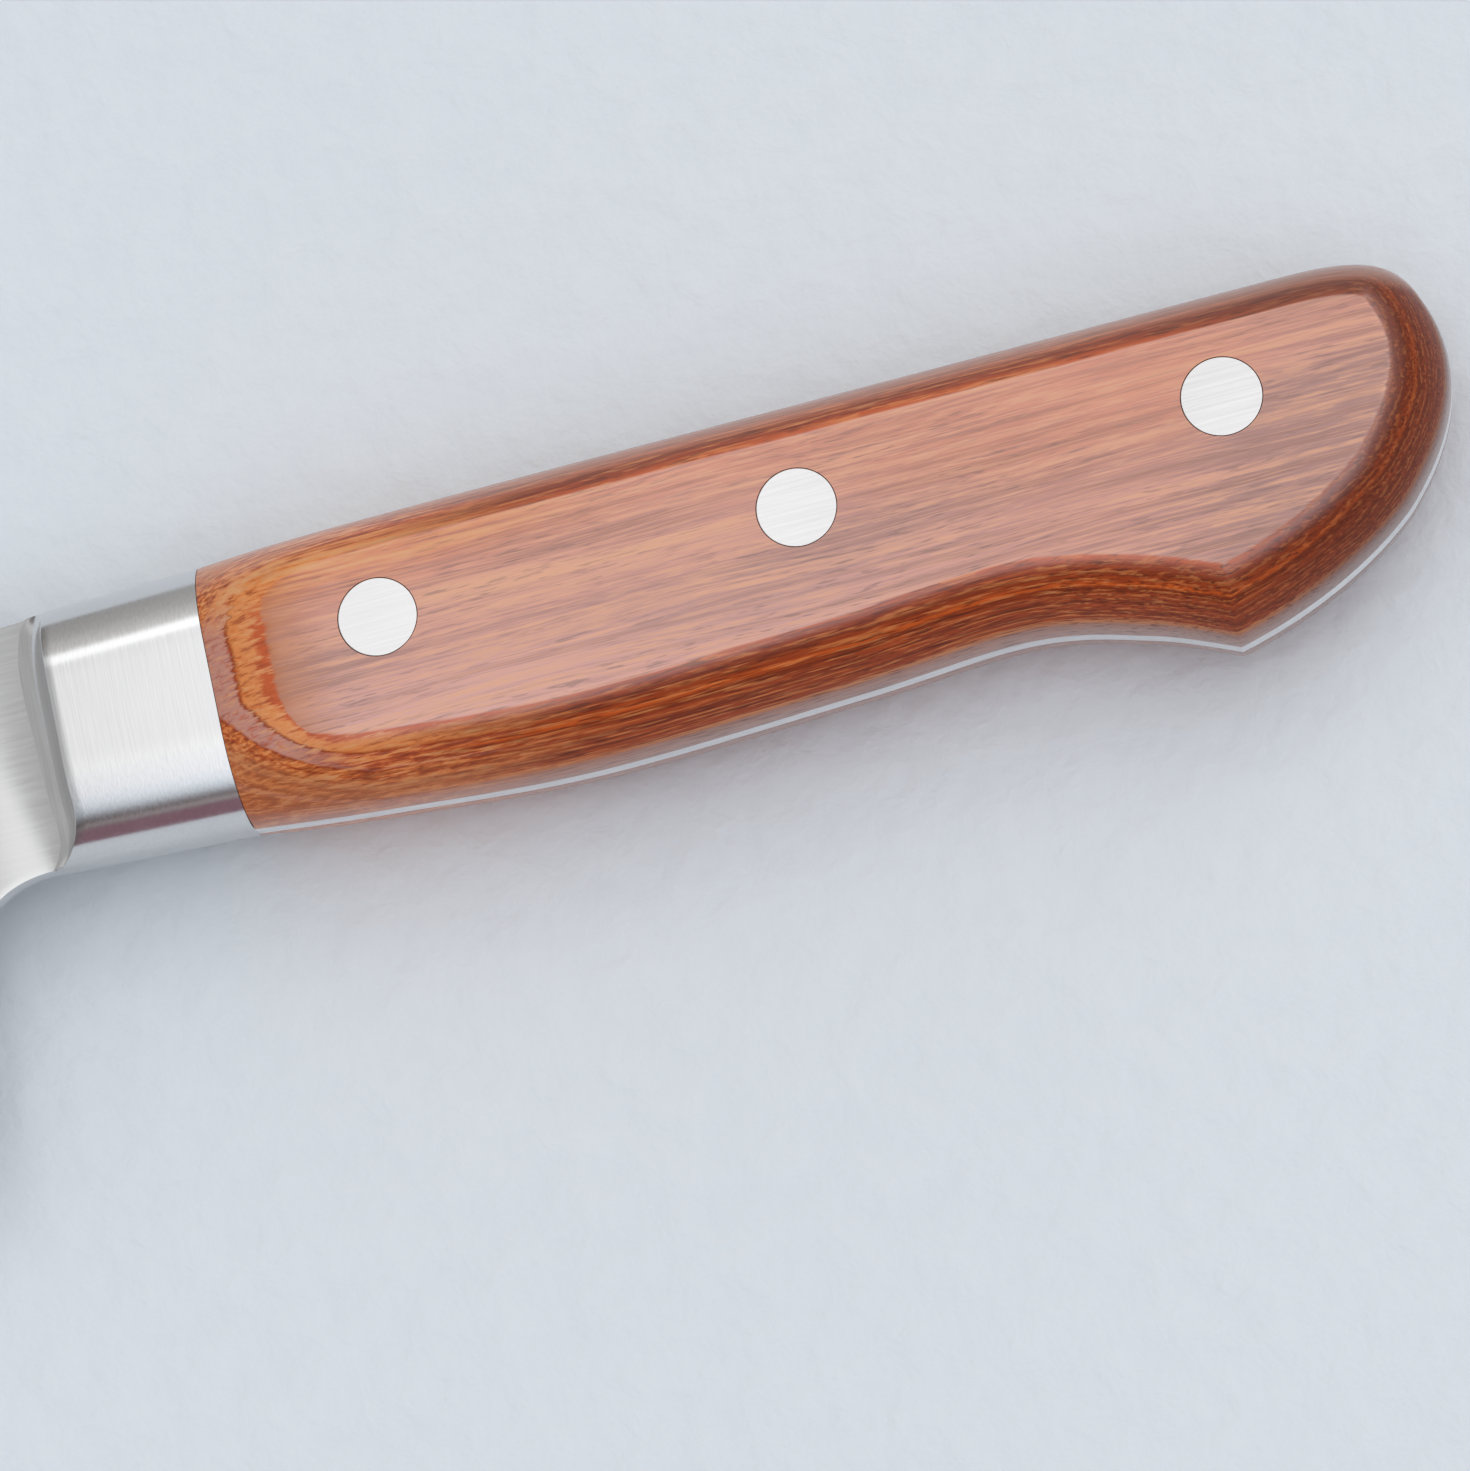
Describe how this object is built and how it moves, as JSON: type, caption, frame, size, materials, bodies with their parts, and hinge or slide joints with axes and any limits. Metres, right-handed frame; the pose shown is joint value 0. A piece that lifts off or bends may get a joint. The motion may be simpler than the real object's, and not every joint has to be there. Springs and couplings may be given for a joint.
{
  "type": "gyuto chef's knife",
  "caption": "Gyuto chef's knife: pointed full-tang steel blade, welded steel bolster and a riveted laminated-wood western handle with a flat side, rounded edges and a hooked butt.",
  "frame": {"origin": "under the middle of the knife's box, on the surface that it lies on with its right side down", "axes": "+X along the handle from tip to butt, +Y from edge to spine, +Z out of the knife's left side"},
  "size_m": [0.3502, 0.048, 0.019],
  "materials": {
    "blade_steel": "fine satin, brushed along the blade",
    "bolster_steel": "bright satin, brushed square to the handle",
    "rivet_steel": "fine satin, ground flush with the wood",
    "laminated_wood": "semi-gloss resin-bonded veneers, red-brown with orange and dark layers at the rounded edges"
  },
  "bodies": {
    "root": {"blade_and_tang": "blade_steel", "bolster_left_half": "bolster_steel", "bolster_right_half": "bolster_steel", "scale_left": "laminated_wood", "scale_right": "laminated_wood", "rivet_front_tube": "rivet_steel", "rivet_front_pin": "rivet_steel", "rivet_middle_tube": "rivet_steel", "rivet_middle_pin": "rivet_steel", "rivet_rear_tube": "rivet_steel", "rivet_rear_pin": "rivet_steel"}
  },
  "joints": []
}
